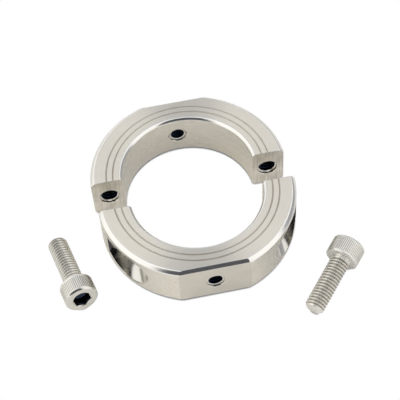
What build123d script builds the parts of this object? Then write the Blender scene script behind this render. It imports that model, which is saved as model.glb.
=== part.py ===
from build123d import *
import os
from math import atan2, cos, degrees, radians, sin, sqrt, tan

os.makedirs("parts", exist_ok=True)

# Ring of the collar, in millimetres: the origin is on the bore axis, half way up the width
BORE_RADIUS = 20.0
RING_THICKNESS = 10.0
WIDTH = 15.0
OUTER_CHAMFER = 1.1
BORE_CHAMFER = 0.8
SPLIT_GAP = 2.0
SPLIT_EDGE_BREAK = 0.2

# Two fine turned grooves in the top face, measured from the bore wall
INNER_GROOVE_FROM_BORE = 3.0
OUTER_GROOVE_FROM_BORE = 5.0
GROOVE_WIDTH = 0.5
GROOVE_DEPTH = 0.2

# A milled flat in the middle of each half, with a radial tapped hole through to the bore
FLAT_DEPTH = 2.0
FLAT_CHAMFER = 0.85
RADIAL_THREAD_RADIUS = 2.5
RADIAL_THREAD_PITCH = 0.8
RADIAL_MOUTH_RELIEF = 0.1

# Clamp screws: socket head cap screws that pass the front half and bite in the rear half
THREAD_RADIUS = 3.0
THREAD_PITCH = 1.0
THREAD_ANGLE = 60.0
THREAD_DEPTH = 0.61
THREAD_CUTTER_OVERLAP = 0.02
NECK_LENGTH = 0.93
SCREW_LENGTH = 18.0
HEAD_RADIUS = 5.0
HEAD_HEIGHT = 6.0
HEAD_TOP_CHAMFER = 0.6
HEAD_EDGE_BREAK = 0.2
NECK_BEVEL = 0.25
TIP_CHAMFER = 0.7
SOCKET_FLATS = 5.0
SOCKET_DEPTH = 3.0
SOCKET_MOUTH_RELIEF = 0.1

# Screw holes: a head pocket and clearance hole in front, a blind tapped hole behind
BORE_TO_HOLE_WALL = 1.5
SHANK_CLEARANCE = 0.3
HEAD_CLEARANCE = 0.5
SEAT_THICKNESS = 7.5
POCKET_EDGE_BREAK = 0.3
HOLE_MOUTH_RELIEF = 0.1
TIP_CLEARANCE = 1.0
DRILL_POINT_ANGLE = 118.0
COUNTERSINK_ANGLE = 90.0

# Places of the opened pieces: the rear half drawn back, and a loose screw on either side
OPEN_SHIFT_X = -0.88
OPEN_SHIFT_Y = 8.1
LEFT_SCREW_STANDOFF = 14.5
LEFT_SCREW_BEARING = 204.85
LEFT_SCREW_HEADING = 101.85
LEFT_SCREW_TURN = 47.5
RIGHT_SCREW_STANDOFF = 16.7
RIGHT_SCREW_BEARING = -35.77
RIGHT_SCREW_HEADING = -131.15
RIGHT_SCREW_TURN = 20.0

# What follows from those sizes
half_width = WIDTH / 2
outer_radius = BORE_RADIUS + RING_THICKNESS
flat_distance = outer_radius - FLAT_DEPTH
split_face = SPLIT_GAP / 2
seat_face = split_face + SEAT_THICKNESS
clearance_radius = THREAD_RADIUS + SHANK_CLEARANCE
pocket_radius = HEAD_RADIUS + HEAD_CLEARANCE
wall_beside_pocket = half_width - OUTER_CHAMFER - pocket_radius
pocket_edge_break = min(POCKET_EDGE_BREAK, wall_beside_pocket / 2)
thread_root = THREAD_RADIUS - THREAD_DEPTH
flank_slope = tan(radians(THREAD_ANGLE / 2))
crest_flat = THREAD_PITCH / 8
groove_top = THREAD_RADIUS + THREAD_CUTTER_OVERLAP
groove_mouth = THREAD_PITCH - crest_flat + 2 * THREAD_CUTTER_OVERLAP * flank_slope
groove_floor = groove_mouth - 2 * (groove_top - thread_root) * flank_slope
thread_start = NECK_LENGTH + (THREAD_PITCH - crest_flat) / 2
tapped_radius = THREAD_RADIUS - THREAD_PITCH / 2
tapped_depth = SCREW_LENGTH - SEAT_THICKNESS - SPLIT_GAP + TIP_CLEARANCE
radial_tapped_radius = RADIAL_THREAD_RADIUS - RADIAL_THREAD_PITCH / 2
screw_offset = BORE_RADIUS + BORE_TO_HOLE_WALL + clearance_radius
point_slope = tan(radians(DRILL_POINT_ANGLE / 2))
lean = degrees(atan2(HEAD_RADIUS - THREAD_RADIUS, SCREW_LENGTH - TIP_CHAMFER + HEAD_EDGE_BREAK))
lying_height = HEAD_RADIUS * cos(radians(lean)) - HEAD_EDGE_BREAK * sin(radians(lean))
FRONT = Vector(0, -1, 0)
REAR = Vector(0, 1, 0)


def lying_place(standoff, bearing, heading, turn):
    """Return where a screw lies: beside the ring, tip towards the heading, on its head rim and thread end."""
    distance = outer_radius + standoff
    under_head = (
        distance * cos(radians(bearing)),
        distance * sin(radians(bearing)),
        lying_height - half_width,
    )
    level = Vector(1, 0, 0).rotate(Axis.Z, heading)
    up = Vector(0, 0, 1)
    towards_tip = level * cos(radians(lean)) - up * sin(radians(lean))
    away_from_floor = level * sin(radians(lean)) + up * cos(radians(lean))
    socket_corner = away_from_floor.rotate(Axis((0, 0, 0), towards_tip), turn)
    return Plane(origin=under_head, x_dir=socket_corner, z_dir=towards_tip).location


# Turned ring before it is sawn in two: chamfered section, flats and radial tapped holes
with BuildPart() as ring:
    with BuildSketch(Plane.XZ):
        with BuildLine():
            Polyline(
                (BORE_RADIUS, -half_width + BORE_CHAMFER),
                (BORE_RADIUS + BORE_CHAMFER, -half_width),
                (outer_radius - OUTER_CHAMFER, -half_width),
                (outer_radius, -half_width + OUTER_CHAMFER),
                (outer_radius, half_width - OUTER_CHAMFER),
                (outer_radius - OUTER_CHAMFER, half_width),
                (BORE_RADIUS + BORE_CHAMFER, half_width),
                (BORE_RADIUS, half_width - BORE_CHAMFER),
                close=True,
            )
        make_face()
    revolve(axis=Axis.Z)
    # The flats and their chamfered edges are milled along X
    with BuildSketch(Plane.YZ):
        for side in (-1, 1):
            with BuildLine():
                Polyline(
                    (side * (flat_distance - FLAT_CHAMFER), WIDTH),
                    (side * (flat_distance - FLAT_CHAMFER), half_width),
                    (side * flat_distance, half_width - FLAT_CHAMFER),
                    (side * flat_distance, -half_width + FLAT_CHAMFER),
                    (side * (flat_distance - FLAT_CHAMFER), -half_width),
                    (side * (flat_distance - FLAT_CHAMFER), -WIDTH),
                    (side * (outer_radius + FLAT_DEPTH), -WIDTH),
                    (side * (outer_radius + FLAT_DEPTH), WIDTH),
                    close=True,
                )
            make_face()
    extrude(amount=outer_radius, both=True, mode=Mode.SUBTRACT)
    # Each radial hole is tapped through, and countersunk at the flat and at the bore
    for outward in (FRONT, REAR):
        flat_mouth = Plane(origin=outward * flat_distance, z_dir=outward)
        bore_mouth = Plane(origin=outward * BORE_RADIUS, z_dir=-outward)
        with Locations(flat_mouth, bore_mouth):
            CounterSinkHole(
                radius=radial_tapped_radius,
                counter_sink_radius=RADIAL_THREAD_RADIUS + RADIAL_MOUTH_RELIEF,
                depth=RING_THICKNESS,
                counter_sink_angle=COUNTERSINK_ANGLE,
            )

# The two fine grooves as a cutter
with BuildPart() as groove_cutter:
    with BuildSketch(Plane.XZ):
        for groove_radius in (BORE_RADIUS + INNER_GROOVE_FROM_BORE, BORE_RADIUS + OUTER_GROOVE_FROM_BORE):
            with BuildLine():
                Polyline(
                    (groove_radius - GROOVE_WIDTH / 2, half_width),
                    (groove_radius, half_width - GROOVE_DEPTH),
                    (groove_radius + GROOVE_WIDTH / 2, half_width),
                    close=True,
                )
            make_face()
    revolve(axis=Axis.Z)

# Front half, with a clearance hole and a head pocket for each clamp screw
with BuildPart() as front_half:
    add(ring.part)
    split(bisect_by=Plane.XZ.offset(split_face), keep=Keep.TOP)
    sawn_faces = front_half.faces().filter_by(Axis.Y).group_by(Axis.Y)[-1]
    chamfer(sawn_faces.edges(), length=SPLIT_EDGE_BREAK)
    for side in (-1, 1):
        with Locations(Plane(origin=(side * screw_offset, -outer_radius, 0), z_dir=FRONT)):
            CounterBoreHole(
                radius=clearance_radius,
                counter_bore_radius=pocket_radius,
                counter_bore_depth=outer_radius - seat_face,
                depth=outer_radius,
            )
        pocket_mouth = front_half.edges(Select.LAST).sort_by(Axis.Y)[0]
        chamfer(pocket_mouth, length=pocket_edge_break)
        with Locations(Plane(origin=(side * screw_offset, -split_face, 0), z_dir=REAR)):
            CounterSinkHole(
                radius=clearance_radius,
                counter_sink_radius=clearance_radius + HOLE_MOUTH_RELIEF,
                depth=SEAT_THICKNESS,
                counter_sink_angle=COUNTERSINK_ANGLE,
            )
    add(groove_cutter.part, mode=Mode.SUBTRACT)

# Rear half where it closes on the shaft, with a blind tapped hole for each clamp screw
with BuildPart() as closed_rear_half:
    add(ring.part)
    split(bisect_by=Plane.XZ.offset(-split_face), keep=Keep.BOTTOM)
    sawn_faces = closed_rear_half.faces().filter_by(Axis.Y).group_by(Axis.Y)[0]
    chamfer(sawn_faces.edges(), length=SPLIT_EDGE_BREAK)
    for side in (-1, 1):
        with Locations(Plane(origin=(side * screw_offset, split_face, 0), z_dir=FRONT)):
            CounterSinkHole(
                radius=tapped_radius,
                counter_sink_radius=THREAD_RADIUS + HOLE_MOUTH_RELIEF,
                depth=tapped_depth,
                counter_sink_angle=COUNTERSINK_ANGLE,
            )
        with Locations(Plane(origin=(side * screw_offset, split_face + tapped_depth, 0), z_dir=REAR)):
            Cone(
                bottom_radius=tapped_radius,
                top_radius=0,
                height=tapped_radius / point_slope,
                align=(Align.CENTER, Align.CENTER, Align.MIN),
                mode=Mode.SUBTRACT,
            )
    add(groove_cutter.part, mode=Mode.SUBTRACT)

# Rear half drawn back from the front half
with BuildPart() as rear_half:
    add(closed_rear_half.part.moved(Location((OPEN_SHIFT_X, OPEN_SHIFT_Y, 0))))

# Groove of the screw's thread as a cutter that winds up from the neck and out past the tip
with BuildPart() as thread_groove:
    with BuildLine(Plane.XY.offset(thread_start)) as winding:
        Helix(pitch=THREAD_PITCH, height=SCREW_LENGTH + THREAD_PITCH - thread_start, radius=thread_root)
    with BuildSketch(Plane.XZ):
        with BuildLine():
            Polyline(
                (thread_root, thread_start - groove_floor / 2),
                (thread_root, thread_start + groove_floor / 2),
                (groove_top, thread_start + groove_mouth / 2),
                (THREAD_RADIUS + THREAD_DEPTH, thread_start + groove_mouth / 2),
                (THREAD_RADIUS + THREAD_DEPTH, thread_start - groove_mouth / 2),
                (groove_top, thread_start - groove_mouth / 2),
                close=True,
            )
        make_face()
    sweep(path=winding.line, is_frenet=True)

# Clamp screw along +Z, its head's seat at the origin; the head is drilled before the hexagon is pressed in
with BuildPart() as clamp_screw:
    Cylinder(
        radius=THREAD_RADIUS,
        height=SCREW_LENGTH + THREAD_PITCH / 2,
        align=(Align.CENTER, Align.CENTER, Align.MIN),
    )
    add(thread_groove.part, mode=Mode.SUBTRACT)
    # The tip is cut to length and chamfered
    with BuildSketch(Plane.XZ):
        with BuildLine():
            Polyline(
                (0, SCREW_LENGTH),
                (THREAD_RADIUS - TIP_CHAMFER, SCREW_LENGTH),
                (THREAD_RADIUS + TIP_CHAMFER, SCREW_LENGTH - 2 * TIP_CHAMFER),
                (THREAD_RADIUS + TIP_CHAMFER, SCREW_LENGTH + THREAD_PITCH),
                (0, SCREW_LENGTH + THREAD_PITCH),
                close=True,
            )
        make_face()
    revolve(axis=Axis.Z, mode=Mode.SUBTRACT)
    with BuildSketch(Plane.XZ):
        with BuildLine():
            Polyline(
                (0, -HEAD_HEIGHT),
                (HEAD_RADIUS - HEAD_TOP_CHAMFER, -HEAD_HEIGHT),
                (HEAD_RADIUS, -HEAD_HEIGHT + HEAD_TOP_CHAMFER),
                (HEAD_RADIUS, -HEAD_EDGE_BREAK),
                (HEAD_RADIUS - HEAD_EDGE_BREAK, 0),
                (THREAD_RADIUS + NECK_BEVEL, 0),
                (THREAD_RADIUS, NECK_BEVEL),
                (0, NECK_BEVEL),
                close=True,
            )
        make_face()
    revolve(axis=Axis.Z)
    drilled_radius = SOCKET_FLATS / 2
    mouth_radius = SOCKET_FLATS / sqrt(3) + SOCKET_MOUTH_RELIEF
    with BuildSketch(Plane.XZ):
        with BuildLine():
            Polyline(
                (0, -HEAD_HEIGHT),
                (mouth_radius, -HEAD_HEIGHT),
                (drilled_radius, -HEAD_HEIGHT + (mouth_radius - drilled_radius) / point_slope),
                (drilled_radius, -HEAD_HEIGHT + SOCKET_DEPTH),
                (0, -HEAD_HEIGHT + SOCKET_DEPTH + drilled_radius / point_slope),
                close=True,
            )
        make_face()
    revolve(axis=Axis.Z, mode=Mode.SUBTRACT)
    with BuildSketch(Plane.XY.offset(-HEAD_HEIGHT)):
        RegularPolygon(radius=SOCKET_FLATS / 2, side_count=6, major_radius=False)
    extrude(amount=SOCKET_DEPTH, mode=Mode.SUBTRACT)

left_place = lying_place(LEFT_SCREW_STANDOFF, LEFT_SCREW_BEARING, LEFT_SCREW_HEADING, LEFT_SCREW_TURN)
with BuildPart() as clamp_screw_left:
    add(clamp_screw.part.moved(left_place))

right_place = lying_place(RIGHT_SCREW_STANDOFF, RIGHT_SCREW_BEARING, RIGHT_SCREW_HEADING, RIGHT_SCREW_TURN)
with BuildPart() as clamp_screw_right:
    add(clamp_screw.part.moved(right_place))

front_half.part.label = "front_half"
export_step(front_half.part, "parts/front_half.step")

rear_half.part.label = "rear_half"
export_step(rear_half.part, "parts/rear_half.step")

clamp_screw_left.part.label = "clamp_screw_left"
export_step(clamp_screw_left.part, "parts/clamp_screw_left.step")

clamp_screw_right.part.label = "clamp_screw_right"
export_step(clamp_screw_right.part, "parts/clamp_screw_right.step")
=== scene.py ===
import math
import bmesh
import bpy
from mathutils import Matrix, Quaternion, Vector


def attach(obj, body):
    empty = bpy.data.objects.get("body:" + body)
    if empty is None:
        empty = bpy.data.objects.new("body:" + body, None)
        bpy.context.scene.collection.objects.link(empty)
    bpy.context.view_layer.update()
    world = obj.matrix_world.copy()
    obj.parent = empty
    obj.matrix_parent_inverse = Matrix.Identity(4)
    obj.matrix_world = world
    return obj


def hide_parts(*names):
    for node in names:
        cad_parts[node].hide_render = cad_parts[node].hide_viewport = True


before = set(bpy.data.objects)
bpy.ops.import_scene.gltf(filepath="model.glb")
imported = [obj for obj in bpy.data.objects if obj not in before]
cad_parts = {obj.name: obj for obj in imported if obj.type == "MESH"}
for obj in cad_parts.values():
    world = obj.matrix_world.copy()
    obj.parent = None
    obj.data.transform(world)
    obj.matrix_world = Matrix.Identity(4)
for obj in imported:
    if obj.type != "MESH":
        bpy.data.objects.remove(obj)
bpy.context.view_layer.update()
mm = 0.001

# Camera
# Looks down on the opened collar from the front, with the small sideways roll of the photograph.
# The lens gives the photograph's frame on a square 36 mm sensor.
camera_place = Vector((-28.524, -217.156, 306.764)) * mm
camera_target = Vector((1.8446, 6.9404, -7.5)) * mm
camera_roll = math.radians(-4.2747)
camera_lens = 111.37
sensor_width = 36
nearest_seen = 10 * mm
camera_data = bpy.data.cameras.new("camera")
camera_data.lens = camera_lens
camera_data.sensor_width = sensor_width
camera_data.clip_start = nearest_seen
camera = bpy.data.objects.new("camera", camera_data)
bpy.context.scene.collection.objects.link(camera)
camera.location = camera_place
camera.rotation_mode = "QUATERNION"
camera.rotation_quaternion = (
    (camera_place - camera_target).to_track_quat("Z", "Y") @ Quaternion((0, 0, 1), camera_roll)
)
bpy.context.scene.camera = camera
bpy.context.scene.view_settings.view_transform = "Standard"

# Floor
# A wide sheet of white paper. The camera sees it white up to the narrow shadow where metal meets it,
# which deepens as the open share of the view from the paper falls from open_paper to hidden_paper.
# The metal sees the paper as the lamps light it.
floor_level = -7.5 * mm
floor_width = 6.0
paper_colour = (0.90, 0.895, 0.87)
shade_reach = 0.9 * mm
hidden_paper = 0.40
open_paper = 0.75
darkest_shade = 0.20
bpy.ops.object.select_all(action="DESELECT")
bpy.ops.mesh.primitive_plane_add(size=floor_width, location=(0, 0, floor_level))
floor = bpy.context.object
floor.name = "floor"
bpy.ops.object.transform_apply(location=True, rotation=True, scale=True)
paper = bpy.data.materials.new("white_paper")
paper.use_nodes = True
nodes, links = paper.node_tree.nodes, paper.node_tree.links
nodes.clear()
output = nodes.new("ShaderNodeOutputMaterial")
rays = nodes.new("ShaderNodeLightPath")
openness = nodes.new("ShaderNodeAmbientOcclusion")
openness.inputs["Distance"].default_value = shade_reach
openness.samples = 8
contact = nodes.new("ShaderNodeMapRange")
contact.interpolation_type = "SMOOTHSTEP"
contact.inputs["From Min"].default_value = hidden_paper
contact.inputs["From Max"].default_value = open_paper
contact.inputs["To Min"].default_value = darkest_shade
contact.inputs["To Max"].default_value = 1.0
links.new(openness.outputs["AO"], contact.inputs["Value"])
white = nodes.new("ShaderNodeEmission")
white.inputs["Color"].default_value = (1, 1, 1, 1)
links.new(contact.outputs["Result"], white.inputs["Strength"])
lit = nodes.new("ShaderNodeBsdfDiffuse")
lit.inputs["Color"].default_value = (*paper_colour, 1)
clear_rays = nodes.new("ShaderNodeMath")
clear_rays.operation = "MAXIMUM"
links.new(rays.outputs["Is Camera Ray"], clear_rays.inputs[0])
links.new(rays.outputs["Is Transmission Ray"], clear_rays.inputs[1])
surface = nodes.new("ShaderNodeMixShader")
links.new(clear_rays.outputs["Value"], surface.inputs["Fac"])
links.new(lit.outputs["BSDF"], surface.inputs[1])
links.new(white.outputs["Emission"], surface.inputs[2])
links.new(surface.outputs["Shader"], output.inputs["Surface"])
floor.data.materials.append(paper)

# World
# A plain white room. The camera and the metal see it white, and it gives the floor a softer fill light,
# so that the lamps' shading on the floor stays in the metal's reflections.
fill_level = 0.55
world = bpy.data.worlds.new("white_room")
bpy.context.scene.world = world
world.use_nodes = True
nodes, links = world.node_tree.nodes, world.node_tree.links
nodes.clear()
output = nodes.new("ShaderNodeOutputWorld")
rays = nodes.new("ShaderNodeLightPath")
seen = nodes.new("ShaderNodeBackground")
seen.inputs["Color"].default_value = (1, 1, 1, 1)
fill = nodes.new("ShaderNodeBackground")
fill.inputs["Color"].default_value = (1, 1, 1, 1)
fill.inputs["Strength"].default_value = fill_level
background_rays = nodes.new("ShaderNodeMath")
background_rays.operation = "MAXIMUM"
links.new(rays.outputs["Is Camera Ray"], background_rays.inputs[0])
links.new(rays.outputs["Is Glossy Ray"], background_rays.inputs[1])
clear_rays = nodes.new("ShaderNodeMath")
clear_rays.operation = "MAXIMUM"
links.new(background_rays.outputs["Value"], clear_rays.inputs[0])
links.new(rays.outputs["Is Transmission Ray"], clear_rays.inputs[1])
mixed = nodes.new("ShaderNodeMixShader")
links.new(clear_rays.outputs["Value"], mixed.inputs["Fac"])
links.new(fill.outputs["Background"], mixed.inputs[1])
links.new(seen.outputs["Background"], mixed.inputs[2])
links.new(mixed.outputs["Shader"], output.inputs["Surface"])

# Lamps and cards
# Two soft boxes, a wide one at the left and one at the right front. Their lamps light the floor, and the
# metal mirrors their bright fronts. Grey cards stand where the studio is dim: high behind, low at the
# right and round the camera. Only the metal sees the fronts and the cards, which fade at their edges.
lamp_distance = 0.9
card_distance = 1.1


def direction(azimuth, elevation):
    """Unit vector towards a place round the object: azimuth 0 is behind it, 90 at its right."""
    across = math.cos(math.radians(elevation))
    return Vector((
        across * math.sin(math.radians(azimuth)),
        across * math.cos(math.radians(azimuth)),
        math.sin(math.radians(elevation)),
    ))


def card(name, azimuth, elevation, half_width, half_height, colour, edge, distance=card_distance):
    """A card that only the metal sees. Its half sizes are angles in degrees, to where it has half faded."""
    bpy.ops.object.select_all(action="DESELECT")
    bpy.ops.mesh.primitive_plane_add(size=2)
    sheet = bpy.context.object
    sheet.name = name
    grown = distance / (1 - edge / 2)
    sheet.scale = (
        grown * math.tan(math.radians(half_width)),
        grown * math.tan(math.radians(half_height)),
        1,
    )
    sheet.location = direction(azimuth, elevation) * distance
    sheet.rotation_euler = direction(azimuth, elevation).to_track_quat("Z", "Y").to_euler()
    sheet.visible_camera = False
    sheet.visible_diffuse = False
    sheet.visible_shadow = False
    sheet.visible_transmission = False
    paint = bpy.data.materials.new(name)
    paint.use_nodes = True
    nodes, links = paint.node_tree.nodes, paint.node_tree.links
    nodes.clear()
    output = nodes.new("ShaderNodeOutputMaterial")
    place = nodes.new("ShaderNodeTexCoord")
    split = nodes.new("ShaderNodeSeparateXYZ")
    links.new(place.outputs["Object"], split.inputs["Vector"])
    both = nodes.new("ShaderNodeMath")
    both.operation = "MULTIPLY"
    for slot, axis in enumerate(("X", "Y")):
        away = nodes.new("ShaderNodeMath")
        away.operation = "ABSOLUTE"
        links.new(split.outputs[axis], away.inputs[0])
        fade = nodes.new("ShaderNodeMapRange")
        fade.interpolation_type = "SMOOTHSTEP"
        fade.inputs["From Min"].default_value = 1 - edge
        fade.inputs["From Max"].default_value = 1.0
        fade.inputs["To Min"].default_value = 1.0
        fade.inputs["To Max"].default_value = 0.0
        links.new(away.outputs["Value"], fade.inputs["Value"])
        links.new(fade.outputs["Result"], both.inputs[slot])
    glow = nodes.new("ShaderNodeEmission")
    glow.inputs["Color"].default_value = (*colour, 1)
    clear = nodes.new("ShaderNodeBsdfTransparent")
    mixed = nodes.new("ShaderNodeMixShader")
    links.new(both.outputs["Value"], mixed.inputs["Fac"])
    links.new(clear.outputs["BSDF"], mixed.inputs[1])
    links.new(glow.outputs["Emission"], mixed.inputs[2])
    links.new(mixed.outputs["Shader"], output.inputs["Surface"])
    sheet.data.materials.append(paint)


def soft_box(name, azimuth, elevation, half_width, half_height, light_colour, front_colour, edge):
    """A rectangular lamp facing the object, with the bright front that the metal sees."""
    light = bpy.data.lights.new(name, "AREA")
    light.shape = "RECTANGLE"
    light.size = 2 * lamp_distance * math.tan(math.radians(half_width))
    light.size_y = 2 * lamp_distance * math.tan(math.radians(half_height))
    light.energy = math.pi * light.size * light.size_y
    light.color = light_colour
    lamp = bpy.data.objects.new(name, light)
    bpy.context.scene.collection.objects.link(lamp)
    lamp.location = direction(azimuth, elevation) * lamp_distance
    lamp.rotation_euler = direction(azimuth, elevation).to_track_quat("Z", "Y").to_euler()
    lamp.visible_glossy = False
    card(name + "_front", azimuth, elevation, half_width, half_height, front_colour, edge, lamp_distance)


soft_box("left_soft_box", azimuth=-91, elevation=28, half_width=32, half_height=38,
         light_colour=(1.24, 1.19, 1.08), front_colour=(1.16, 1.15, 1.12), edge=0.5)
soft_box("right_soft_box", azimuth=121, elevation=35, half_width=20, half_height=26,
         light_colour=(1.32, 1.28, 1.44), front_colour=(1.14, 1.13, 1.12), edge=0.35)
card("back_card", azimuth=8, elevation=56, half_width=12, half_height=45,
     colour=(0.58, 0.60, 0.65), edge=0.5)
card("right_card", azimuth=65, elevation=8, half_width=37, half_height=22,
     colour=(0.37, 0.38, 0.41), edge=0.4)
card("camera_card", azimuth=190, elevation=37, half_width=37, half_height=22,
     colour=(0.085, 0.088, 0.10), edge=0.35)

# Front half of the collar
# One piece of aluminium, turned with a chamfered section and two fine grooves in its end face, then sawn
# off on the split line, with a milled flat, a tapped radial hole and a bored pocket for each screw head.
bore_radius = 20.0 * mm
outer_radius = 30.0 * mm
section_middle = (bore_radius + outer_radius) / 2
half_width = 7.5 * mm
outer_chamfer = 1.1 * mm
bore_chamfer = 0.8 * mm
corner_rounding = 0.3 * mm
split_face = 1.0 * mm
split_edge_break = 0.2 * mm
groove_radii = (23.0 * mm, 25.0 * mm)
groove_width = 0.5 * mm
groove_depth = 0.2 * mm
flat_distance = 28.0 * mm
flat_chamfer = 0.85 * mm
screw_offset = 24.8 * mm
seat_face = 8.5 * mm
pocket_radius = 5.5 * mm
clearance_radius = 3.3 * mm
hole_mouth_relief = 0.1 * mm
radial_thread_radius = 2.5 * mm
radial_tapped_radius = 2.1 * mm
radial_pitch = 0.8 * mm
thread_angle = 60
crest_share = 1 / 8
ring_steps = 240
hole_steps = 160
merge_distance = 1e-7
spun_merge_distance = 1e-6
hair = 0.01 * mm

# A face counts as facing an axis, square to it or edge on to it by how much of its normal lies along it
facing = 0.99
square = 0.999
edge_on = 0.01


def select_where(kind, wanted):
    """In edit mode, select only the vertices, edges or faces that wanted accepts."""
    bpy.ops.mesh.select_mode(type=kind)
    bpy.ops.mesh.select_all(action="DESELECT")
    mesh = bmesh.from_edit_mesh(bpy.context.object.data)
    for part in {"VERT": mesh.verts, "EDGE": mesh.edges, "FACE": mesh.faces}[kind]:
        if wanted(part):
            part.select_set(True)
    mesh.select_flush_mode()
    bmesh.update_edit_mesh(bpy.context.object.data)


def saw(place, outward):
    """In edit mode, cut off what lies past a plane and close the cut."""
    bpy.ops.mesh.select_all(action="SELECT")
    bpy.ops.mesh.bisect(plane_co=place, plane_no=outward, use_fill=True, clear_outer=True,
                        threshold=merge_distance)


def turned(name, stations, steps):
    """A solid turned about the z axis through (height, radius) stations from one end to the other."""
    bpy.ops.object.select_all(action="DESELECT")
    height, radius = stations[0]
    bpy.ops.mesh.primitive_circle_add(vertices=steps, radius=radius, fill_type="NGON",
                                      location=(0, 0, height))
    piece = bpy.context.object
    piece.name = name
    bpy.ops.object.transform_apply(location=True, rotation=True, scale=True)
    bpy.ops.object.mode_set(mode="EDIT")
    bpy.ops.mesh.select_all(action="SELECT")
    for next_height, next_radius in stations[1:]:
        bpy.ops.mesh.extrude_region_move(TRANSFORM_OT_translate={"value": (0, 0, next_height - height)})
        if next_radius == 0:
            bpy.ops.mesh.merge(type="CENTER")
        elif next_radius != radius:
            ratio = next_radius / radius
            bpy.ops.transform.resize(value=(ratio, ratio, 1), center_override=(0, 0, next_height))
        height, radius = next_height, next_radius
    bpy.ops.mesh.select_all(action="SELECT")
    bpy.ops.mesh.normals_make_consistent(inside=False)
    bpy.ops.object.mode_set(mode="OBJECT")
    return piece


def threaded_rod(name, crest_radius, root_radius, pitch, low, high, groove_at, steps, rounding=0):
    """A closed right-hand thread about the z axis: one pitch of its profile, screwed up and cut to length.
    groove_at is the height of a groove's middle on the x axis, within a pitch of the low end."""
    turns_below = 2
    turns_above = 1
    crest_flat = pitch * crest_share
    slope_height = (crest_radius - root_radius) * math.tan(math.radians(thread_angle / 2))
    root_flat = pitch - crest_flat - 2 * slope_height
    turns = turns_below + math.ceil((high - low) / pitch) + turns_above
    bpy.ops.object.select_all(action="DESELECT")
    bpy.ops.mesh.primitive_plane_add(size=pitch)
    rod = bpy.context.object
    rod.name = name
    bpy.ops.object.mode_set(mode="EDIT")
    bpy.ops.mesh.select_mode(type="VERT")
    bpy.ops.mesh.select_all(action="SELECT")
    bpy.ops.mesh.merge(type="CENTER")
    bpy.ops.transform.translate(value=(root_radius, 0, groove_at - turns_below * pitch))
    for across, up in (
        (0, root_flat / 2),
        (crest_radius - root_radius, slope_height),
        (0, crest_flat),
        (root_radius - crest_radius, slope_height),
        (0, root_flat / 2),
    ):
        bpy.ops.mesh.extrude_region_move(TRANSFORM_OT_translate={"value": (across, 0, up)})
    if rounding:
        select_where("VERT", lambda corner: len(corner.link_edges) == 2)
        bpy.ops.mesh.bevel(offset_type="OFFSET", offset=rounding, affect="VERTICES", segments=2)
    bpy.ops.object.mode_set(mode="OBJECT")
    bpy.ops.object.modifier_add(type="SCREW")
    winding = rod.modifiers[-1]
    winding.axis = "Z"
    winding.angle = 2 * math.pi
    winding.screw_offset = pitch
    winding.iterations = turns
    winding.steps = steps
    winding.render_steps = steps
    winding.use_merge_vertices = True
    winding.merge_threshold = merge_distance
    bpy.ops.object.modifier_apply(modifier=winding.name)
    bpy.ops.object.mode_set(mode="EDIT")
    bpy.ops.mesh.select_all(action="SELECT")
    bpy.ops.mesh.remove_doubles(threshold=spun_merge_distance)
    saw((0, 0, high), (0, 0, 1))
    saw((0, 0, low), (0, 0, -1))
    bpy.ops.mesh.select_all(action="SELECT")
    bpy.ops.mesh.normals_make_consistent(inside=False)
    bpy.ops.object.mode_set(mode="OBJECT")
    return rod


def put(piece, place):
    """Move a piece by a matrix and leave its object at the origin."""
    bpy.ops.object.select_all(action="DESELECT")
    bpy.context.view_layer.objects.active = piece
    piece.select_set(True)
    piece.matrix_world = place
    bpy.ops.object.transform_apply(location=True, rotation=True, scale=True)
    return piece


def duplicate(piece, name):
    """A copy of a piece with its own mesh."""
    copied = piece.copy()
    copied.data = piece.data.copy()
    copied.name = name
    copied.data.name = name
    bpy.context.scene.collection.objects.link(copied)
    return copied


def combine(piece, other, operation):
    """Cut the other shape out of the piece, add it, or keep what both share, and throw the other away."""
    bpy.ops.object.select_all(action="DESELECT")
    bpy.context.view_layer.objects.active = piece
    piece.select_set(True)
    bpy.ops.object.modifier_add(type="BOOLEAN")
    boolean = piece.modifiers[-1]
    boolean.operation = operation
    boolean.solver = "EXACT"
    boolean.material_mode = "TRANSFER"
    boolean.object = other
    bpy.ops.object.modifier_apply(modifier=boolean.name)
    bpy.data.objects.remove(other)


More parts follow.
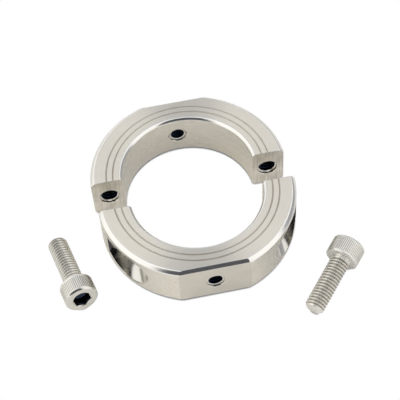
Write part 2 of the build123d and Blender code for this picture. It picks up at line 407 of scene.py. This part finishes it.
def machined(name, own_frame, marks, run, colours, roughness, anisotropy, mark_size, mark_depth):
    """Metal with fine tool marks and wear, in a frame of its own. marks is "turned", for rings about its z
    axis, or the axis that straight marks run along. run is "radial", or the direction in the world that the
    shine spreads in. Colour and roughness vary between the two that are given."""
    along_turned_mark = 1.2
    along_straight_mark = 0.04
    wear_scale = 260.0
    wear_share = 0.45
    finish = bpy.data.materials.new(name)
    finish.use_nodes = True
    nodes, links = finish.node_tree.nodes, finish.node_tree.links
    shader = nodes["Principled BSDF"]
    shader.inputs["Metallic"].default_value = 1.0
    shader.inputs["Anisotropic"].default_value = anisotropy
    place = nodes.new("ShaderNodeTexCoord")
    own = nodes.new("ShaderNodeMapping")
    back = own_frame.inverted()
    own.inputs["Location"].default_value = back.to_translation()
    own.inputs["Rotation"].default_value = back.to_euler()
    links.new(place.outputs["Object"], own.inputs["Vector"])
    split = nodes.new("ShaderNodeSeparateXYZ")
    split.name = "own axes"
    links.new(own.outputs["Vector"], split.inputs["Vector"])
    level = nodes.new("ShaderNodeCombineXYZ")
    links.new(split.outputs["X"], level.inputs["X"])
    links.new(split.outputs["Y"], level.inputs["Y"])
    radius = nodes.new("ShaderNodeVectorMath")
    radius.name = "own radius"
    radius.operation = "LENGTH"
    links.new(level.outputs["Vector"], radius.inputs[0])
    if marks == "turned":
        angle = nodes.new("ShaderNodeMath")
        angle.operation = "ARCTAN2"
        links.new(split.outputs["Y"], angle.inputs[0])
        links.new(split.outputs["X"], angle.inputs[1])
        rolled = nodes.new("ShaderNodeCombineXYZ")
        links.new(radius.outputs["Value"], rolled.inputs["X"])
        links.new(angle.outputs["Value"], rolled.inputs["Y"])
        links.new(split.outputs["Z"], rolled.inputs["Z"])
        pattern = rolled.outputs["Vector"]
        stretch = (1 / mark_size, along_turned_mark, 1 / mark_size)
    else:
        pattern = own.outputs["Vector"]
        stretch = tuple(1 / mark_size if part == 0 else along_straight_mark / mark_size for part in marks)
    stretched = nodes.new("ShaderNodeMapping")
    stretched.inputs["Scale"].default_value = stretch
    links.new(pattern, stretched.inputs["Vector"])
    streaks = nodes.new("ShaderNodeTexNoise")
    streaks.inputs["Scale"].default_value = 1.0
    streaks.inputs["Detail"].default_value = 3.0
    streaks.inputs["Roughness"].default_value = 0.6
    links.new(stretched.outputs["Vector"], streaks.inputs["Vector"])
    wear = nodes.new("ShaderNodeTexNoise")
    wear.inputs["Scale"].default_value = wear_scale
    wear.inputs["Detail"].default_value = 4.0
    links.new(own.outputs["Vector"], wear.inputs["Vector"])
    tone = nodes.new("ShaderNodeMix")
    tone.data_type = "FLOAT"
    tone.inputs["Factor"].default_value = wear_share
    links.new(streaks.outputs["Fac"], tone.inputs["A"])
    links.new(wear.outputs["Fac"], tone.inputs["B"])
    colour = nodes.new("ShaderNodeValToRGB")
    colour.color_ramp.elements[0].position = 0.3
    colour.color_ramp.elements[0].color = (*colours[0], 1)
    colour.color_ramp.elements[1].position = 0.7
    colour.color_ramp.elements[1].color = (*colours[1], 1)
    links.new(tone.outputs["Result"], colour.inputs["Fac"])
    links.new(colour.outputs["Color"], shader.inputs["Base Color"])
    dullness = nodes.new("ShaderNodeMapRange")
    dullness.inputs["From Min"].default_value = 0.25
    dullness.inputs["From Max"].default_value = 0.75
    dullness.inputs["To Min"].default_value = roughness[0]
    dullness.inputs["To Max"].default_value = roughness[1]
    links.new(tone.outputs["Result"], dullness.inputs["Value"])
    links.new(dullness.outputs["Result"], shader.inputs["Roughness"])
    bump = nodes.new("ShaderNodeBump")
    bump.inputs["Strength"].default_value = 1.0
    bump.inputs["Distance"].default_value = mark_depth
    links.new(streaks.outputs["Fac"], bump.inputs["Height"])
    links.new(bump.outputs["Normal"], shader.inputs["Normal"])
    if run == "radial":
        links.new(level.outputs["Vector"], shader.inputs["Tangent"])
    else:
        lie = nodes.new("ShaderNodeCombineXYZ")
        for axis, part in zip("XYZ", run):
            lie.inputs[axis].default_value = part
        links.new(lie.outputs["Vector"], shader.inputs["Tangent"])
    return finish


def tinted(finish, level, start, end, tint):
    """Turn a finish's colour towards a tint as a level, such as a depth, goes from start to end."""
    nodes, links = finish.node_tree.nodes, finish.node_tree.links
    shader = nodes["Principled BSDF"]
    plain = shader.inputs["Base Color"].links[0].from_socket
    share = nodes.new("ShaderNodeMapRange")
    share.interpolation_type = "SMOOTHSTEP"
    share.inputs["From Min"].default_value = start
    share.inputs["From Max"].default_value = end
    links.new(level, share.inputs["Value"])
    tone = nodes.new("ShaderNodeMix")
    tone.data_type = "RGBA"
    tone.inputs["B"].default_value = (*tint, 1)
    links.new(share.outputs["Result"], tone.inputs["Factor"])
    links.new(plain, tone.inputs["A"])
    links.new(tone.outputs["Result"], shader.inputs["Base Color"])


def dress(piece, finishes):
    """Give each face the finish of the first test that it passes."""
    piece.data.materials.clear()
    for finish, test in finishes:
        piece.data.materials.append(finish)
    for face in piece.data.polygons:
        face.material_index = next(i for i, (finish, test) in enumerate(finishes) if test(face))


def collar_finishes(side, centre):
    """The finishes of one half: turned end, turned walls, chamfers, grooves, milled flat and sawn face."""
    own_frame = Matrix.Translation(centre)
    end = machined(side + "_turned_end", own_frame, "turned", "radial",
                   colours=((0.89, 0.84, 0.745), (0.97, 0.925, 0.825)), roughness=(0.40, 0.46),
                   anisotropy=0.95, mark_size=0.12 * mm, mark_depth=0.0015 * mm)
    wall = machined(side + "_turned_wall", own_frame, "turned", (0, 0, 1),
                    colours=((0.79, 0.755, 0.675), (0.86, 0.825, 0.745)), roughness=(0.24, 0.32),
                    anisotropy=0.5, mark_size=0.12 * mm, mark_depth=0.0015 * mm)
    chamfer = machined(side + "_chamfer", own_frame, "turned", "radial",
                       colours=((0.84, 0.825, 0.785), (0.90, 0.885, 0.845)), roughness=(0.14, 0.20),
                       anisotropy=0.0, mark_size=0.12 * mm, mark_depth=0.0006 * mm)
    groove = machined(side + "_groove", own_frame, "turned", "radial",
                      colours=((0.52, 0.48, 0.42), (0.66, 0.62, 0.55)), roughness=(0.45, 0.55),
                      anisotropy=0.0, mark_size=0.10 * mm, mark_depth=0.001 * mm)
    flat = machined(side + "_milled_flat", own_frame, (1, 0, 0), (0, 0, 1),
                    colours=((0.68, 0.65, 0.585), (0.77, 0.74, 0.67)), roughness=(0.26, 0.34),
                    anisotropy=0.5, mark_size=0.15 * mm, mark_depth=0.002 * mm)
    sawn = machined(side + "_sawn_face", own_frame, (0, 0, 1), (1, 0, 0),
                    colours=((0.52, 0.49, 0.42), (0.98, 0.94, 0.86)), roughness=(0.32, 0.44),
                    anisotropy=0.5, mark_size=0.36 * mm, mark_depth=0.010 * mm)

    def radius(face):
        return ((face.center - Vector(centre)) * Vector((1, 1, 0))).length

    def in_groove(face):
        beside = any(abs(radius(face) - groove_radius) < groove_width for groove_radius in groove_radii)
        return beside and face.center.z > half_width - groove_depth

    return [
        (end, lambda face: abs(face.normal.z) > facing),
        (sawn, lambda face: abs(face.normal.y) > square and abs(face.center.y - centre[1]) < 2 * split_face),
        (flat, lambda face: abs(face.normal.y) > square and radius(face) > section_middle),
        (wall, lambda face: abs(face.normal.z) < edge_on),
        (groove, in_groove),
        (chamfer, lambda face: True),
    ]


# The section is spun half way round; the saw then trims it to the split face and the flat
bpy.ops.object.select_all(action="DESELECT")
bpy.ops.mesh.primitive_plane_add(size=1, location=(section_middle, 0, 0), rotation=(math.pi / 2, 0, 0))
half_ring = bpy.context.object
half_ring.name = "half_ring"
half_ring.scale = (outer_radius - bore_radius, 2 * half_width, 1)
bpy.ops.object.transform_apply(location=True, rotation=True, scale=True)
bpy.ops.object.mode_set(mode="EDIT")
select_where("VERT", lambda corner: corner.co.x > section_middle)
bpy.ops.mesh.bevel(offset_type="OFFSET", offset=outer_chamfer, affect="VERTICES", segments=1)
select_where("VERT", lambda corner: corner.co.x < bore_radius + hair)
bpy.ops.mesh.bevel(offset_type="OFFSET", offset=bore_chamfer, affect="VERTICES", segments=1)
bpy.ops.mesh.select_all(action="SELECT")
bpy.ops.mesh.bevel(offset_type="OFFSET", offset=corner_rounding, affect="VERTICES", segments=3)
bpy.ops.mesh.select_all(action="SELECT")
bpy.ops.mesh.spin(steps=ring_steps, angle=math.pi, center=(0, 0, 0), axis=(0, 0, 1))
bpy.ops.mesh.select_all(action="SELECT")
bpy.ops.mesh.remove_doubles(threshold=merge_distance)
bpy.ops.mesh.normals_make_consistent(inside=False)
saw((0, -split_face, 0), (0, 1, 0))
saw((0, -flat_distance, 0), (0, -1, 0))
for upwards in (1, -1):
    saw((0, -flat_distance, upwards * (half_width - flat_chamfer)), (0, -1, upwards))

# The sawn face's edges are broken; the ring's steps beside them are joined first, to leave room
sawn_strip = 0.7 * mm
joined_angle = math.radians(4)
select_where("FACE", lambda face: split_face < -face.calc_center_median().y < split_face + sawn_strip
             and abs(face.normal.y) < facing)
bpy.ops.mesh.dissolve_limited(angle_limit=joined_angle, use_dissolve_boundaries=False)
select_where("FACE", lambda face: face.normal.y > square and face.calc_center_median().y > -2 * split_face)
bpy.ops.mesh.region_to_loop()
bpy.ops.mesh.bevel(offset=split_edge_break, segments=2, affect="EDGES")
bpy.ops.object.mode_set(mode="OBJECT")

# The turned grooves, each cut with a ring of diamond section
for groove_radius in groove_radii:
    bpy.ops.object.select_all(action="DESELECT")
    bpy.ops.mesh.primitive_circle_add(vertices=4, radius=groove_width / 2, fill_type="NOTHING",
                                      location=(groove_radius, 0, half_width), rotation=(math.pi / 2, 0, 0))
    groove = bpy.context.object
    groove.scale = (1, 2 * groove_depth / groove_width, 1)
    bpy.ops.object.transform_apply(location=True, rotation=True, scale=True)
    bpy.ops.object.mode_set(mode="EDIT")
    bpy.ops.mesh.select_all(action="SELECT")
    bpy.ops.mesh.spin(steps=2 * ring_steps, angle=2 * math.pi, center=(0, 0, 0), axis=(0, 0, 1))
    bpy.ops.mesh.select_all(action="SELECT")
    bpy.ops.mesh.remove_doubles(threshold=spun_merge_distance)
    bpy.ops.mesh.normals_make_consistent(inside=False)
    bpy.ops.object.mode_set(mode="OBJECT")
    combine(half_ring, groove, "DIFFERENCE")
rear_ring = duplicate(half_ring, "rear_ring_half")
front_ring = half_ring
front_ring.name = "front_ring_half"
front_centre = (0, 0, 0)
dress(front_ring, collar_finishes("front", front_centre))


def along_y(place, sign):
    """The matrix that puts a shape made along z at a place, pointing along y or against it."""
    return Matrix.Translation(place) @ Matrix.Rotation(-sign * math.pi / 2, 4, "X")


def threads(name, own_frame, depth, through):
    """Cut threads about the frame's z axis: bright at the mouth, with shade painted dark further in."""
    unshaded_to = 0.35 * mm
    painted_shade_from = 0.52 * mm
    finish = machined(name, own_frame, "turned", (0, 0, 1),
                      colours=((0.62, 0.61, 0.58), (0.78, 0.76, 0.71)), roughness=(0.18, 0.28),
                      anisotropy=0.0, mark_size=0.10 * mm, mark_depth=0.001 * mm)
    nodes, links = finish.node_tree.nodes, finish.node_tree.links
    nearest = nodes["own axes"].outputs["Z"]
    if through:
        other_end = nodes.new("ShaderNodeMath")
        other_end.operation = "SUBTRACT"
        other_end.inputs[0].default_value = depth
        links.new(nearest, other_end.inputs[1])
        closer = nodes.new("ShaderNodeMath")
        closer.operation = "MINIMUM"
        links.new(nearest, closer.inputs[0])
        links.new(other_end.outputs["Value"], closer.inputs[1])
        nearest = closer.outputs["Value"]
    # Painted shade: the thread's colour turns near black a little way in from the nearest mouth.
    tinted(finish, nearest, unshaded_to, painted_shade_from, (0.03, 0.045, 0.085))
    return finish


def rims(name, own_frame):
    """Bright broken edges about the frame's z axis."""
    return machined(name, own_frame, "turned", (0, 0, 1),
                    colours=((0.72, 0.70, 0.65), (0.82, 0.80, 0.75)), roughness=(0.08, 0.14),
                    anisotropy=0.0, mark_size=0.10 * mm, mark_depth=0.001 * mm)


def roots(name, own_frame):
    """The groove behind a broken edge, where the tap has run in, painted dark for the shade in it."""
    return machined(name, own_frame, "turned", (0, 0, 1),
                    colours=((0.14, 0.14, 0.15), (0.22, 0.22, 0.23)), roughness=(0.20, 0.28),
                    anisotropy=0.0, mark_size=0.10 * mm, mark_depth=0.001 * mm)


def drill(piece, place, sign, stations, finishes):
    """Cut a hole turned about the y axis; heights run from its mouth into the metal."""
    tool = turned("drill", stations, hole_steps)
    dress(tool, finishes)
    combine(piece, put(tool, along_y(place, sign)), "DIFFERENCE")


def tap(piece, place, sign, crest_radius, root_radius, pitch, low, high, finish):
    """Cut a thread about the y axis between two distances from its mouth."""
    steps = 90
    tool = threaded_rod("tap", crest_radius, root_radius, pitch, low, high, low, steps)
    tool.data.materials.append(finish)
    combine(piece, put(tool, along_y(place, sign)), "DIFFERENCE")


# The radial hole, drilled and tapped from the flat to the bore and countersunk at both. Its section has
# the first turn of thread at each mouth, and the tap cuts the rest, with its roots just under the wall.
# Every drill starts the distance over outside the metal.
over = 0.5 * mm
flat_mouth = Vector((0, -flat_distance, 0))
radial_mouth_relief = 0.3 * mm
radial_rim = radial_thread_radius + radial_mouth_relief
radial_depth = flat_distance - bore_radius
mouth_cone = 0.12 * mm
first_flank = 0.42 * mm
first_turn = 0.54 * mm
first_turn_height = 0.05 * mm
tap_start = 0.2 * mm
tap_under_wall = 0.03 * mm
radial_hole = (
    (-over, radial_rim + over),
    (mouth_cone, radial_rim - mouth_cone),
    (first_flank, radial_rim - mouth_cone),
    (first_turn, radial_tapped_radius + first_turn_height),
    (first_turn + first_turn_height, radial_tapped_radius),
    (radial_depth - first_turn - first_turn_height, radial_tapped_radius),
    (radial_depth - first_turn, radial_tapped_radius + first_turn_height),
    (radial_depth - first_flank, radial_rim - mouth_cone),
    (radial_depth - mouth_cone, radial_rim - mouth_cone),
    (radial_depth + over, radial_rim + over),
)


def radial_tapped_hole(piece, side, place, sign):
    """Cut one half's radial hole, from the middle of its flat to its bore."""
    own_frame = along_y(place, sign)
    inside = threads(side + "_radial_thread", own_frame, radial_depth, True)
    groove = roots(side + "_radial_roots", own_frame)
    mouths = rims(side + "_radial_rims", own_frame)

    def depth(face):
        return min(face.center.z, radial_depth - face.center.z)

    drill(piece, place, sign, radial_hole, [
        (inside, lambda face: depth(face) > first_turn),
        (groove, lambda face: mouth_cone < depth(face) < first_flank and abs(face.normal.z) < edge_on),
        (mouths, lambda face: True),
    ])
    tap(piece, place, sign, radial_thread_radius, radial_tapped_radius - tap_under_wall, radial_pitch,
        first_turn + tap_start, radial_depth - first_turn - tap_start, inside)


radial_tapped_hole(front_ring, "front", flat_mouth, 1)

# Each screw's clearance hole and head pocket, and the pocket's broken edge, cut along the curve where
# the bore breaks out of the ring's round wall
pocket_edge_break = 0.14 * mm
seat_corner = 0.12 * mm
seat_depth = seat_face - split_face
past_ring = seat_depth + 25 * mm
rim_steps = 150
rim_overhang = 0.35
rim_rise = 1.2
small_turn = 0.001
breaks_out = math.acos((math.sqrt(outer_radius ** 2 - seat_face ** 2) - screw_offset) / pocket_radius)


def pocket_rim(side, angle):
    """Section of the pocket's edge break at an angle round the pocket: its two feet and a point outside."""
    def edge(at):
        x = screw_offset + pocket_radius * math.cos(at)
        return Vector((x, -math.sqrt(outer_radius ** 2 - x ** 2), pocket_radius * math.sin(at)))

    corner = edge(angle)
    forward = (edge(angle + small_turn) - edge(angle - small_turn)).normalized()
    out_of_wall = -Vector((math.cos(angle), 0, math.sin(angle)))
    out_of_ring = Vector((corner.x, corner.y, 0)).normalized()
    down_wall = forward.cross(out_of_wall).normalized()
    if down_wall.dot(out_of_ring) > 0:
        down_wall = -down_wall
    along_ring = forward.cross(out_of_ring).normalized()
    if along_ring.dot(out_of_wall) > 0:
        along_ring = -along_ring
    foot = corner + down_wall * pocket_edge_break
    shoulder = corner + along_ring * pocket_edge_break
    beyond = (foot - shoulder) * rim_overhang
    outside = corner + (out_of_wall + out_of_ring).normalized() * rim_rise * pocket_edge_break
    points = (foot + beyond, shoulder - beyond, outside)
    return [Vector((side * point.x, point.y, point.z)) for point in points]


for side, side_name in ((-1, "left"), (1, "right")):
    mouth = Vector((side * screw_offset, -split_face, 0))
    pocket_frame = along_y(mouth, -1)
    pocket_metal = machined(side_name + "_bored_pocket", pocket_frame, "turned", (0, 1, 0),
                            colours=((0.74, 0.72, 0.66), (0.84, 0.82, 0.76)), roughness=(0.16, 0.22),
                            anisotropy=0.0, mark_size=0.16 * mm, mark_depth=0.0003 * mm)
    # Painted shade: the pocket's metal darkens from its axis towards the side away from the ring's middle.
    outwards = pocket_metal.node_tree.nodes["own axes"].outputs["X"]
    pocket_shade_at = side * 2.4 * mm
    tinted(pocket_metal, outwards, 0, pocket_shade_at, (0.10, 0.10, 0.105))
    hole_metal = machined(side_name + "_clearance_hole", pocket_frame, "turned", (0, 1, 0),
                          colours=((0.54, 0.53, 0.50), (0.62, 0.61, 0.58)), roughness=(0.30, 0.38),
                          anisotropy=0.0, mark_size=0.16 * mm, mark_depth=0.001 * mm)
    rim_metal = rims(side_name + "_pocket_rims", pocket_frame)
    drill(front_ring, mouth, -1, (
        (-over, clearance_radius + hole_mouth_relief + over),
        (hole_mouth_relief, clearance_radius),
        (seat_depth, clearance_radius),
        (seat_depth, pocket_radius - seat_corner),
        (seat_depth + seat_corner, pocket_radius),
        (past_ring, pocket_radius),
    ), [
        (rim_metal, lambda face: face.center.z < hole_mouth_relief - hair),
        (hole_metal, lambda face: face.center.z < seat_depth - hair),
        (pocket_metal, lambda face: True),
    ])
    bpy.ops.object.select_all(action="DESELECT")
    bpy.ops.mesh.primitive_cylinder_add(vertices=3, radius=1, depth=rim_steps, end_fill_type="NGON")
    rim = bpy.context.object
    bpy.ops.object.mode_set(mode="EDIT")
    select_where("EDGE", lambda edge: abs(edge.verts[0].co.z - edge.verts[1].co.z) > 1)
    bpy.ops.mesh.subdivide(number_cuts=rim_steps - 1)
    bpy.ops.object.mode_set(mode="OBJECT")
    for corner in rim.data.vertices:
        share = corner.co.z / rim_steps + 0.5
        angle = breaks_out + share * (2 * math.pi - 2 * breaks_out)
        which = round(math.atan2(corner.co.y, corner.co.x) / (2 * math.pi / 3) + 3) % 3
        corner.co = pocket_rim(side, angle)[which]
    bpy.ops.object.mode_set(mode="EDIT")
    bpy.ops.mesh.select_all(action="SELECT")
    bpy.ops.mesh.normals_make_consistent(inside=False)
    bpy.ops.object.mode_set(mode="OBJECT")
    rim.data.materials.append(rim_metal)
    combine(front_ring, rim, "DIFFERENCE")


def smooth(piece, degrees):
    """Shade the piece smooth, with its corners kept sharp and its large faces even."""
    bpy.ops.object.select_all(action="DESELECT")
    bpy.context.view_layer.objects.active = piece
    piece.select_set(True)
    bpy.ops.object.shade_smooth_by_angle(angle=math.radians(degrees))
    bpy.ops.object.modifier_add(type="WEIGHTED_NORMAL")
    even = piece.modifiers[-1]
    even.keep_sharp = True
    bpy.ops.object.modifier_apply(modifier=even.name)


ring_sharp_angle = 25
smooth(front_ring, ring_sharp_angle)
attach(front_ring, "front")
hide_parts("front_half")

# Rear half of the collar
# The same turned ring, sawn off behind the split line and drawn back from the front half. Its sawn face
# has a blind tapped hole for each clamp screw, and its flat and radial hole face away from the camera.
open_shift = Vector((-0.88, 8.1, 0)) * mm
tapped_radius = 2.5 * mm
thread_radius = 3.0 * mm
thread_pitch = 1.0 * mm
tapped_depth = 9.5 * mm
last_turn_depth = tapped_depth - thread_pitch
drill_point_angle = 118
drill_point_slope = math.tan(math.radians(drill_point_angle / 2))
thread_rim = thread_radius + hole_mouth_relief
blind_flank = 0.60 * mm
blind_turn = 0.82 * mm
blind_tap_under_wall = 0.036 * mm
rear_centre = tuple(open_shift)
put(rear_ring, Matrix.Translation(open_shift) @ Matrix.Rotation(math.pi, 4, "Z"))
dress(rear_ring, collar_finishes("rear", rear_centre))
radial_tapped_hole(rear_ring, "rear", open_shift + Vector((0, flat_distance, 0)), -1)


def in_first_groove(face):
    """True for the wall of the groove behind a blind hole's mouth."""
    return mouth_cone < face.center.z < blind_flank and abs(face.normal.z) < edge_on


# The blind tapped holes, with the first turn at the mouth as before and a drill point at the end
for side, side_name in ((-1, "left"), (1, "right")):
    mouth = open_shift + Vector((side * screw_offset, split_face, 0))
    blind_frame = along_y(mouth, 1)
    blind_thread = threads(side_name + "_blind_thread", blind_frame, tapped_depth, False)
    # The groove behind each mouth gets the roots finish, its shade painted dark.
    shaded_root_metal = roots(side_name + "_blind_root", blind_frame)
    rim_metal = rims(side_name + "_blind_rim", blind_frame)
    drill(rear_ring, mouth, 1, (
        (-over, thread_rim + over),
        (mouth_cone, thread_rim - mouth_cone),
        (blind_flank, thread_rim - mouth_cone),
        (blind_turn, tapped_radius + first_turn_height),
        (blind_turn + first_turn_height, tapped_radius),
        (tapped_depth, tapped_radius),
        (tapped_depth + tapped_radius / drill_point_slope, 0),
    ), [
        (shaded_root_metal, in_first_groove),
        (rim_metal, lambda face: face.center.z < blind_turn),
        (blind_thread, lambda face: True),
    ])
    tap(rear_ring, mouth, 1, thread_radius, tapped_radius - blind_tap_under_wall, thread_pitch,
        blind_turn + tap_start, last_turn_depth, blind_thread)
smooth(rear_ring, ring_sharp_angle)
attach(rear_ring, "rear")
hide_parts("rear_half")

# Clamp screws
# Two stainless socket head cap screws, M6 x 18, lying loose. Each is cold headed with a knurled rim and
# a pressed hexagon over a drilled hole, and its thread is rolled up to a short neck under the head.
head_radius = 5.0 * mm
head_height = 6.0 * mm
screw_length = 18.0 * mm
tip_chamfer = 0.7 * mm
thread_root_radius = 2.39 * mm
neck_length = 0.93 * mm
first_groove = neck_length + thread_pitch * (1 - crest_share) / 2
thread_rounding = 0.06 * mm
socket_flats = 5.0 * mm
socket_depth = 3.0 * mm
socket_mouth_radius = 2.987 * mm
ridge_count = 56
ridge_depth = 0.08 * mm
knurl_low = -5.15 * mm
knurl_high = -0.75 * mm
knurl_run_out = 0.15 * mm
knurl_steps = 4 * ridge_count
thread_steps = 72

# Head and neck, turned from inside the thread's root outwards to the top face, with rounded corners
neck_radius = thread_radius - 0.05 * mm
under_head_round = 0.25 * mm
head_corner = 0.75 * mm
inside_thread = 0.3 * mm
cap_screw = turned("cap_screw", (
    (neck_length + inside_thread, thread_root_radius - 0.1 * mm),
    (neck_length, neck_radius),
    (under_head_round, neck_radius),
    (0.08 * mm, thread_radius + 0.08 * mm),
    (0, thread_radius + under_head_round),
    (0, head_radius - under_head_round),
    (-0.05 * mm, head_radius - 0.16 * mm),
    (-0.14 * mm, head_radius - 0.06 * mm),
    (-under_head_round, head_radius),
    (knurl_high, head_radius),
    (knurl_high - knurl_run_out, head_radius),
    (knurl_low + knurl_run_out, head_radius),
    (knurl_low, head_radius),
    (-head_height + head_corner, head_radius),
    (-head_height + 0.60 * mm, head_radius - 0.03 * mm),
    (-head_height + 0.50 * mm, head_radius - 0.10 * mm),
    (-head_height + 0.10 * mm, head_radius - 0.50 * mm),
    (-head_height + 0.03 * mm, head_radius - 0.60 * mm),
    (-head_height, head_radius - head_corner),
), knurl_steps)
bpy.ops.object.mode_set(mode="EDIT")


def in_valley(corner):
    """True for the two of each four steps round the head that the knurl presses in."""
    step = round(math.atan2(corner.co.y, corner.co.x) / (2 * math.pi / knurl_steps)) % 4
    height = corner.co.z
    knurled = knurl_low + knurl_run_out / 2 < height < knurl_high - knurl_run_out / 2
    return knurled and step in (1, 2) and math.hypot(corner.co.x, corner.co.y) > head_radius - hair


select_where("VERT", in_valley)
pressed = 1 - ridge_depth / head_radius
bpy.ops.transform.resize(value=(pressed, pressed, 1), center_override=(0, 0, 0))
bpy.ops.object.mode_set(mode="OBJECT")


def screw_finishes(side, own_frame):
    """The finishes of one screw: steel with shade painted darker in the thread's roots, a socket with shade
    painted dark inside, a knurl with shade painted darker in its valleys, the top face, and the clean tip."""
    bright_steel = ((0.80, 0.785, 0.735), (0.90, 0.885, 0.835))
    root_shade_from = 2.92 * mm
    root_shade_full = 2.55 * mm
    socket_shade_from = -head_height + 0.4 * mm
    socket_shade_full = -head_height + 1.7 * mm
    towards_tip = own_frame.to_3x3() @ Vector((0, 0, 1))
    steel = machined(side + "_screw_steel", own_frame, "turned", towards_tip, bright_steel,
                     roughness=(0.34, 0.42), anisotropy=0.3, mark_size=0.3 * mm, mark_depth=0.001 * mm)
    # Painted shade: the steel darkens from near the crests into the thread's roots.
    radius = steel.node_tree.nodes["own radius"].outputs["Value"]
    tinted(steel, radius, root_shade_from, root_shade_full, (0.50, 0.47, 0.41))
    knurl = machined(side + "_screw_knurl", own_frame, "turned", towards_tip, bright_steel,
                     roughness=(0.22, 0.30), anisotropy=0.3, mark_size=0.3 * mm, mark_depth=0.001 * mm)
    # Painted shade: the knurl's colour darkens into its pressed valleys.
    radius = knurl.node_tree.nodes["own radius"].outputs["Value"]
    tinted(knurl, radius, head_radius - hair, head_radius - ridge_depth, (0.46, 0.44, 0.39))
    face = machined(side + "_screw_face", own_frame, "turned", "radial",
                    colours=((0.68, 0.665, 0.62), (0.80, 0.785, 0.735)), roughness=(0.14, 0.22),
                    anisotropy=0.0, mark_size=0.3 * mm, mark_depth=0.001 * mm)
    socket = machined(side + "_screw_socket", own_frame, "turned", towards_tip,
                      colours=((0.60, 0.58, 0.53), (0.72, 0.70, 0.65)), roughness=(0.20, 0.28),
                      anisotropy=0.0, mark_size=0.3 * mm, mark_depth=0.002 * mm)
    # Painted shade: the socket darkens to near black from 0.4 mm to 1.7 mm inside its mouth.
    depth = socket.node_tree.nodes["own axes"].outputs["Z"]
    tinted(socket, depth, socket_shade_from, socket_shade_full, (0.03, 0.04, 0.07))
    tip = machined(side + "_screw_tip", own_frame, "turned", "radial", bright_steel,
                   roughness=(0.26, 0.34), anisotropy=0.0, mark_size=0.3 * mm, mark_depth=0.001 * mm)
    return steel, socket, knurl, face, tip


# The head gets all five finishes in one order, so that each screw's own can take their places
steel, socket_metal, knurl_metal, face_metal, tip_metal = screw_finishes("plain", Matrix.Identity(4))
dress(cap_screw, [
    (steel, lambda face: face.center.z > knurl_high),
    (socket_metal, lambda face: False),
    (knurl_metal, lambda face: face.center.z > knurl_low),
    (face_metal, lambda face: True),
    (tip_metal, lambda face: False),
])

# The rolled thread, cut to a cone at its tip
inside_neck = 0.05 * mm
thread = threaded_rod("rolled_thread", thread_radius, thread_root_radius, thread_pitch,
                      neck_length - inside_neck, screw_length, first_groove, thread_steps, thread_rounding)
cone_top = screw_length + 1 * mm
cone_foot = -2 * mm
tip_cone = turned("tip_cone", (
    (cone_foot, thread_radius - tip_chamfer + screw_length - cone_foot),
    (screw_length - tip_chamfer, thread_radius),
    (cone_top, thread_radius - tip_chamfer + screw_length - cone_top),
), hole_steps)
combine(thread, tip_cone, "INTERSECT")


def at_tip(face):
    """True for the thread's flat end and for the chamfer round it."""
    cone_radius = thread_radius - tip_chamfer + screw_length - face.center.z
    beside_cone = abs(math.hypot(face.center.x, face.center.y) - cone_radius)
    return face.center.z > screw_length - hair or beside_cone < 3 * hair


dress(thread, [(tip_metal, at_tip), (steel, lambda face: True)])
combine(cap_screw, thread, "UNION")

# The drilled hole and the hexagon pressed over it
drilled = turned("socket_drill", (
    (-head_height - over, socket_mouth_radius + over * drill_point_slope),
    (-head_height + (socket_mouth_radius - socket_flats / 2) / drill_point_slope, socket_flats / 2),
    (-head_height + socket_depth, socket_flats / 2),
    (-head_height + socket_depth + socket_flats / 2 / drill_point_slope, 0),
), hole_steps)
dress(drilled, [(socket_metal, lambda face: True)])
combine(cap_screw, drilled, "DIFFERENCE")
bpy.ops.object.select_all(action="DESELECT")
bpy.ops.mesh.primitive_cylinder_add(vertices=6, radius=socket_flats / math.sqrt(3), depth=2 * socket_depth,
                                    location=(0, 0, -head_height), rotation=(0, 0, math.pi / 2))
hexagon = bpy.context.object
bpy.ops.object.transform_apply(location=True, rotation=True, scale=True)
dress(hexagon, [(socket_metal, lambda face: True)])
combine(cap_screw, hexagon, "DIFFERENCE")

# Each screw lies beside the ring, its tip towards a heading, on its head's rim and its thread's end
head_edge_break = 0.2 * mm
lean = math.atan2(head_radius - thread_radius, screw_length - tip_chamfer + head_edge_break)
lying_height = head_radius * math.cos(lean) - head_edge_break * math.sin(lean)
screw_sharp_angle = 30


def lying_place(standoff, bearing, heading, turn):
    """The matrix that lays a screw at a bearing round the ring. All but the standoff are in degrees."""
    distance = outer_radius + standoff
    under_head = Vector((
        distance * math.cos(math.radians(bearing)),
        distance * math.sin(math.radians(bearing)),
        lying_height - half_width,
    ))
    level = Vector((math.cos(math.radians(heading)), math.sin(math.radians(heading)), 0))
    up = Vector((0, 0, 1))
    towards_tip = level * math.cos(lean) - up * math.sin(lean)
    away_from_floor = level * math.sin(lean) + up * math.cos(lean)
    socket_corner = Quaternion(towards_tip, math.radians(turn)) @ away_from_floor
    across = towards_tip.cross(socket_corner)
    return Matrix.Translation(under_head) @ Matrix((socket_corner, across, towards_tip)).transposed().to_4x4()


for side_name, place in (
    ("left", lying_place(standoff=14.5 * mm, bearing=204.85, heading=101.85, turn=47.5)),
    ("right", lying_place(standoff=16.7 * mm, bearing=-35.77, heading=-131.15, turn=20.0)),
):
    screw = duplicate(cap_screw, side_name + "_cap_screw")
    put(screw, place)
    for slot, finish in enumerate(screw_finishes(side_name, place)):
        screw.data.materials[slot] = finish
    smooth(screw, screw_sharp_angle)
    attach(screw, side_name + "_screw")
    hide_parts("clamp_screw_" + side_name)
bpy.data.objects.remove(cap_screw)
